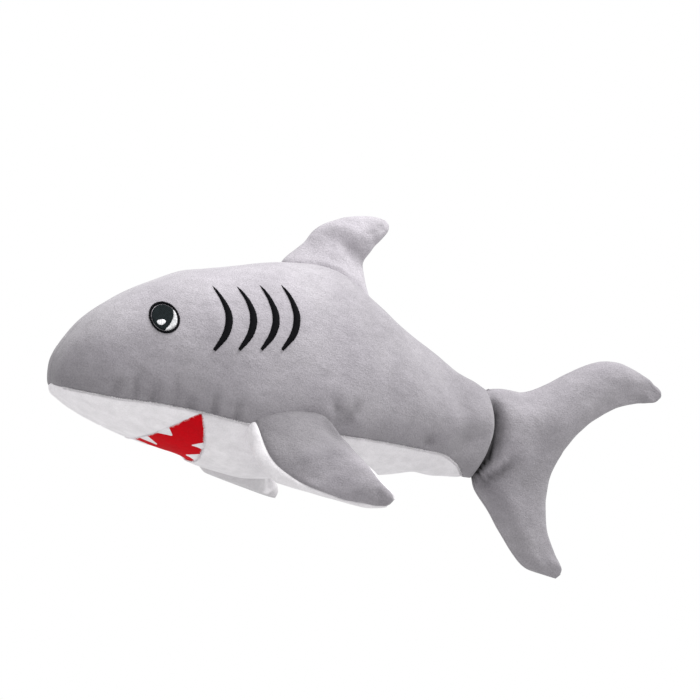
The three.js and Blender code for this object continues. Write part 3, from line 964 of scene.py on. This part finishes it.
def rooted(ribs, root, s, psi, reach, rise):
    """fin_ring() that swings in over its first reach of s to the curve root(psi), leaving it along rise."""
    step = 0.01
    joined = fin_ring(ribs, np.full_like(s, reach), psi)
    onwards = (fin_ring(ribs, np.full_like(s, reach + step), psi) - joined) / step * reach
    k = np.clip(s / reach, 0, 1)[..., None]
    start = root(psi)
    near = ((2 * k**3 - 3 * k**2 + 1) * start + (k**3 - 2 * k**2 + k) * rise
            + (3 * k**2 - 2 * k**3) * joined + (k**3 - k**2) * onwards)
    return np.where(k < 1, near, fin_ring(ribs, s, psi))


FIN_SIM_ROWS, FIN_SIM_COLUMNS = 44, 56


def simulate_fin(name, surface, seams):
    """How Cloth moves a fin's skin, which is pinned at its root, at its tip and along the seams at psi."""
    psi = np.arange(FIN_SIM_COLUMNS) / FIN_SIM_COLUMNS * TURN
    s, psi = np.meshgrid(np.linspace(0, 1, FIN_SIM_ROWS), psi, indexing="ij")
    skin = surface(s, psi)
    pinned = np.zeros(skin.shape[:2])
    for seam in (*seams, seams[0] + TURN):
        pinned = np.maximum(pinned, 0.9 * np.exp(-(((psi - seam) / 0.16) ** 2)))
    pinned = np.maximum(pinned, 1 - smoothstep(s, 0.0, 0.07))
    pinned = np.maximum(pinned, smoothstep(s, 0.94, 1))
    return inflate(name, skin, pinned, 2.5, 2.5, (2, 2))


def fin_panels(body, pieces, surface, rows, split, joint, seed, folds, widen=0.0, tips=(1,), **options):
    """The two panels of a fin, whose shape surface(s, psi) gives.

    pieces holds each panel's name, node, material, slot and painted light and shade. The first panel goes
    from split[0] to split[1] round the section, and the second the rest of the way. The seam at split[0]
    moves round by widen from root to tip.
    """
    moved = simulate_fin(f"{body}_swell", surface, split)

    def swollen(s, psi):
        return surface(s, psi) + sample(moved, s * (FIN_SIM_ROWS - 1), psi / TURN * FIN_SIM_COLUMNS)

    s = rows[:, None]
    seam = split[0] + widen * s
    ends = ((seam, split[1]), (split[1], seam + TURN))
    for k, (name, node, material, slot, painted_light) in enumerate(pieces):
        psi = lerp(*ends[k], spacing(46, 1.8)[None, :])
        s_grid, psi_grid = np.broadcast_arrays(s, psi)
        points = swollen(s_grid, psi_grid)
        closing = {}
        for row in (-1 if tip else 0 for tip in tips):
            across = swollen(s_grid[row], TURN - psi_grid[row])
            closing[row] = (points[row] + across) / 2
        normals = grid_normals(points)
        outward = 1 if faces_outward(points, normals) else -1
        relief = 0.25 * ripple(points, 17, seed + k) + 0.1 * ripple(points, 8, seed + 5 + k)
        points = points + outward * with_folds(relief, points, folds)[..., None] * normals
        piece = panel(name, points, material, painted_light=painted_light, flip=outward < 0, lip=FIN_LIP,
                      closing=closing, seed=seed + 20 * k, **options)
        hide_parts(node, f"{body}_stuffing")
        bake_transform(piece)


def faces_outward(points, normals):
    """Whether a fin panel's grid normals point out of the fin: its middle bulges the way they point."""
    rim = (points[:, 0] + points[:, -1]) / 2
    middle = points[:, points.shape[1] // 2]
    lean = normals[:, points.shape[1] // 2]
    return float(np.sum((middle - rim) * lean)) > 0


ROOT_DEPTH = 1.0  # how deep the fins' roots lie in the body's pile

# Ribs from root to tip: leading point, trailing point, half thickness
PECTORAL = [
    [[-80, -52.5, 25], [-28, -52.5, 27.5], 5],
    [[-79, -57, 15.5], [-26.5, -59.5, 23], 8],
    [[-73.5, -62, 4.5], [-24.5, -70, 17], 9.5],
    [[-63.5, -68, -3.5], [-22.5, -81, 11.5], 9.5],
    [[-50, -76, -9.5], [-20.5, -92, 6.5], 9],
    [[-36.5, -84.5, -12.5], [-18, -100, 0.5], 7.5],
    [[-25, -93, -13.7], [-13.5, -104, -5], 6],
    [[-15.5, -98.5, -13.8], [-11.8, -103.5, -9], 3.5],
]


def pectoral_root(side):
    """The curve on which a pectoral fin meets the body, by psi."""
    def root(psi):
        chord = (1 - np.cos(psi)) / 2
        over, under = np.clip(np.sin(psi), 0, 1), np.clip(-np.sin(psi), 0, 1)
        z = lerp(24, 27, chord) + 13 * over**0.7 - 5 * under**0.8
        return side_point(lerp(-80, -29, chord), z, side, -ROOT_DEPTH)

    return root


PECTORAL_FOLDS = [
    ([[-30, 20], [-33, 28], [-36, 36]], 1.4, (4, 4)),
    ([[-24, -2], [-20, -9], [-19, -15]], 1.1, (2, 3)),
    ([[-62, 20], [-58, 12], [-52, 8]], 0.6, (5, 5)),
]
DROOP = {"left": 0.0, "right": 6.0}  # the right fin hangs lower


def pectoral_painted_light(points):
    """Painted shade on the fin's grey pile, darkest at its root and in its folds, lighter towards its
    middle.
    """
    light = np.interp(np.abs(points[..., 1]), [52, 62, 78, 90, 104], [0.60, 0.66, 0.82, 1.02, 0.92])
    return with_folds(light, points, PECTORAL_FOLDS, FOLD_SHADE)


def underside_painted_light(points):
    """Painted light and shade on the fins' white pile: the left fin's is painted a little lighter, and the
    right one's darker, as painted shade where it lies in the body's shadow.
    """
    return np.where(points[..., 1] < 0, 1.02, 0.75)


for word, side in SIDES:
    mirror = np.array([1, -side, 1])
    ribs = [[mirror * leading, mirror * trailing, -side * half] for leading, trailing, half in PECTORAL]
    root = pectoral_root(side)
    rise = np.array([0.0, side * 12.0, -2.0])
    fin = f"pectoral_fin_{word}"
    pieces = [(f"pectoral_{word}_grey_panel", f"{fin}_top", GREY, "grey_plush", pectoral_painted_light),
              (f"pectoral_{word}_white_panel", f"{fin}_underside", WHITE, "white_plush", underside_painted_light)]
    fin_panels(
        fin, pieces,
        lambda s, psi: rooted(ribs, root, s, psi, 0.22, rise) - (s**2)[..., None] * [0, 0, DROOP[word]],
        spacing(105, 1.9), (0.6, math.pi - 0.1), (place(-50, side * 51, 26), place(-44, side * 64, 15)), 61,
        PECTORAL_FOLDS, widen=0.5, edges=(0, 0, 0.9, 0.9), reach=2.6)


DORSAL = [
    [[-42, 0, 126], [11.5, 0, 103.5], 6],
    [[-36.2, 0, 130], [9.5, 0, 110], 8],
    [[-29.5, 0, 136.3], [8.3, 0, 117.5], 9],
    [[-22.5, 0, 143.5], [8.6, 0, 125], 9],
    [[-13, 0, 148.5], [13, 0, 132], 8.5],
    [[0, 0, 151.5], [18, 0, 137], 7],
    [[13, 0, 152], [22.3, 0, 142], 4.5],
    [[21, 0, 150], [24, 0, 146.3], 1.4],
]


def dorsal_root(psi):
    chord = (1 - np.cos(psi)) / 2
    x = lerp(-43, 11.5, chord)
    u = station_at(x)
    half = station(u)[..., 3]
    y = 12.5 * np.sign(np.sin(psi)) * np.abs(np.sin(psi)) ** FIN_ROUND
    w = np.sign(y) * np.arcsin((np.abs(y) / half) ** (1 / ROUND))
    return body_surface(u, w, -ROOT_DEPTH)


# The dorsal fin is narrowest along its neck, and creased near its tip
DORSAL_FOLDS = [
    ([[-24, 138], [-14, 138.5], [-5, 133], [3, 126], [9, 117]], 2.6, (5, 8)),
    ([[17, 147], [19, 142]], 1.0, (2, 2)),
    ([[9, 144], [12, 138], [14, 134]], 0.8, (3, 3)),
]


def dorsal_painted_light(points):
    """Painted light on the dorsal fin's grey pile, lighter than the body's all over and lighter still high
    on the fin, with painted shade under its overhang above the neck and towards its trailing edge.
    """
    x, z = points[..., 0], points[..., 2]
    neck = np.interp(x, [-24, -14, -5, 3, 9, 14], [138, 138.5, 133, 126, 117, 105])
    above = z - neck
    dark = smoothstep(above, -1, 1.5) * (1 - smoothstep(above, 3, 11)) * smoothstep(x, -4, 9)
    high = np.exp(-((x / 10) ** 2) - ((z - 143) / 6) ** 2)
    return 1.34 + 0.22 * high - 0.3 * dark - 0.08 * smoothstep(x, 8, 18)


fin_panels(
    "dorsal_fin",
    [(f"dorsal_{word}_panel", f"dorsal_fin_{word}_panel", GREY, "grey_plush", dorsal_painted_light)
     for word in ("right", "left")],
    lambda s, psi: rooted(DORSAL, dorsal_root, s, psi, 0.3, np.array([0.0, 0.0, 12.0])),
    spacing(72, 1.9), (0.0, math.pi), (place(-17, 0, 119), place(-10, 0, 135)), 81,
    DORSAL_FOLDS, edges=(0, 0, 0.7, 0.7), reach=2.4)


HINGE_TOP_X, HINGE_FOOT_X = 88.8, 77.4
TAIL_TUCK = 10.0  # how far the tail fin reaches into the body's end


def on_hinge(share):
    """A leading point inside the body's end, from the tail joint's top (0) to its foot (1)."""
    x = lerp(HINGE_TOP_X, HINGE_FOOT_X, share) - lerp(TAIL_TUCK, TAIL_TUCK / 2, share)
    return [x, 0, lerp(47.0, 1.0, share)]


# Ribs across the crescent from the upper tip to the lower tip
TAIL = [
    [[201.6, 0, 45.6], [200.6, 0, 43.4], 1.2],
    [[200.3, 0, 49], [196.5, 0, 41], 3],
    [[195.5, 0, 53], [191, 0, 40.3], 4.2],
    [[189, 0, 57.5], [184, 0, 40], 5.5],
    [[173, 0, 65], [171, 0, 37.5], 7.5],
    [[155, 0, 65], [158, 0, 31.5], 9.5],
    [[136, 0, 58], [147, 0, 24], 11],
    [[112, 0, 48.5], [137, 0, 14], 12],
    [[96, 0, 50], [134, 0, 9.5], 12],
    [on_hinge(0), [131, 0, 5], 12.5],
    [on_hinge(0.5), [127, 0, -3], 13],
    [on_hinge(1), [125, 0, -12], 12.5],
    [[86, 0, -21.5], [124, 0, -22], 11.5],
    [[97, 0, -40], [125, 0, -36], 9.5],
    [[108, 0, -54.5], [129.5, 0, -47], 7],
    [[117.5, 0, -60.5], [132.8, 0, -53.5], 5],
    [[124.5, 0, -64], [134.8, 0, -58], 3.2],
    [[130, 0, -65], [134.3, 0, -62], 1.2],
]
# The tail fin sinks behind the body's end, and has one more fold below it
TAIL_CREASE = [[86.4, 49], [87.8, 40], [89.6, 27], [88.6, 17], [84.2, 7], [76.2, -3], [70, -10]]
# A painted highlight runs along TAIL_RIDGE, in tail_painted_light().
TAIL_RIDGE = [[74, -6], [86, 3], [96, 12]]  # between the crease and the fold below it
TAIL_FOLDS = [
    (TAIL_CREASE, 6.5, (2.6, 8)),
    ([[76, -7], [88, 0.5], [99, 8]], 3.0, (1.8, 4)),
]


def tail_painted_light(points):
    """The body's painted light and shade, with painted shade in the crease and the fold below it, a painted
    highlight along the ridge between them, lighter higher up and darker towards the upper tip.
    """
    light = with_folds(grey_painted_light(points), points, TAIL_FOLDS[1:], 0.13)
    light = light + 0.85 * fold(points, TAIL_CREASE, 1, (1.9, 6))
    light = light + 0.1 * smoothstep(points[..., 2], 0, 40) - 0.3 * fold(points, TAIL_RIDGE, 1, (1.6, 1.6))
    return light - 0.15 * smoothstep(points[..., 0], 178, 196)


fin_panels(
    "tail_fin",
    [(f"tail_{word}_panel", f"tail_fin_{word}_panel", GREY, "grey_plush", tail_painted_light) for word, _ in SIDES],
    lambda s, psi: fin_ring(TAIL, s, psi, tips=(0, 1)),
    spacing(190, 2), (0.06, math.pi - 0.05), (JOINT_START, JOINT_END), 101,
    TAIL_FOLDS, tips=(0, 1), edges=(0, 0, 0.6, 0.6), reach=2.2)


# ---- camera, floor and light


CAMERA_YAW = math.radians(-20)
CAMERA_TARGET, CAMERA_DISTANCE = np.array([-0.7, 0, 73.2]), 1710.3  # level millimetres


def camera():
    """A camera that is level with the level shape, so it is rolled by the lean."""
    data = bpy.data.cameras.new("camera")
    data.lens = 150
    data.sensor_width = 36
    eye = add_object("camera", data)
    c, s = math.cos(CAMERA_YAW), math.sin(CAMERA_YAW)
    right, up, back = np.array([[c, s, 0], [0, 0, 1], [s, -c, 0]])
    position = (leaned(CAMERA_TARGET + back * CAMERA_DISTANCE) + LEVEL_ORIGIN) * MM
    rotation = Matrix([leaned(axis).tolist() for axis in (right, up, back)]).transposed()
    eye.matrix_world = Matrix.Translation(Vector(position)) @ rotation.to_4x4()
    bpy.context.scene.camera = eye


camera()


def floor():
    """A pale floor that shows from above only: the camera's view at rest is from just below its level."""
    mesh = bpy.data.meshes.new("floor")
    half = 6.0
    corners = [(-half, -half, 0), (half, -half, 0), (half, half, 0), (-half, half, 0)]
    mesh.from_pydata(corners, [], [(0, 1, 2, 3)])
    piece = add_object("floor", mesh)
    material = bpy.data.materials.new("floor_white")
    material.use_nodes = True
    nodes, links = material.node_tree.nodes, material.node_tree.links
    shader, output = nodes["Principled BSDF"], nodes["Material Output"]
    shader.inputs["Base Color"].default_value = (0.9, 0.9, 0.9, 1)
    shader.inputs["Roughness"].default_value = 0.9
    clear = nodes.new("ShaderNodeBsdfTransparent")
    geometry = nodes.new("ShaderNodeNewGeometry")
    mix = nodes.new("ShaderNodeMixShader")
    links.new(geometry.outputs["Backfacing"], mix.inputs["Fac"])
    links.new(shader.outputs["BSDF"], mix.inputs[1])
    links.new(clear.outputs["BSDF"], mix.inputs[2])
    links.new(mix.outputs["Shader"], output.inputs["Surface"])
    mesh.materials.append(material)
    piece.visible_diffuse = piece.visible_glossy = piece.visible_shadow = False


floor()


def area_light(name, position, target, size, power):
    data = bpy.data.lights.new(name, "AREA")
    data.shape = "RECTANGLE"
    data.size, data.size_y = size
    data.energy = power
    lamp = add_object(name, data)
    lamp.location = position
    lamp.rotation_euler = (Vector(target) - Vector(position)).to_track_quat("-Z", "Y").to_euler()


area_light("overhead", (0.15, -0.32, 1.3), (0, 0, 0.1), (0.8, 0.6), 17.5)

world = bpy.data.worlds.new("studio")
bpy.context.scene.world = world
world.use_nodes = True
world_nodes, world_links = world.node_tree.nodes, world.node_tree.links
background = world_nodes["Background"]
background.inputs["Color"].default_value = (1, 1, 1, 1)
path = world_nodes.new("ShaderNodeLightPath")
level_of_light = world_nodes.new("ShaderNodeMapRange")
level_of_light.inputs["To Min"].default_value = 0.80
level_of_light.inputs["To Max"].default_value = 1.0
world_links.new(path.outputs["Is Camera Ray"], level_of_light.inputs["Value"])
world_links.new(level_of_light.outputs["Result"], background.inputs["Strength"])
bpy.context.scene.view_settings.view_transform = "Standard"
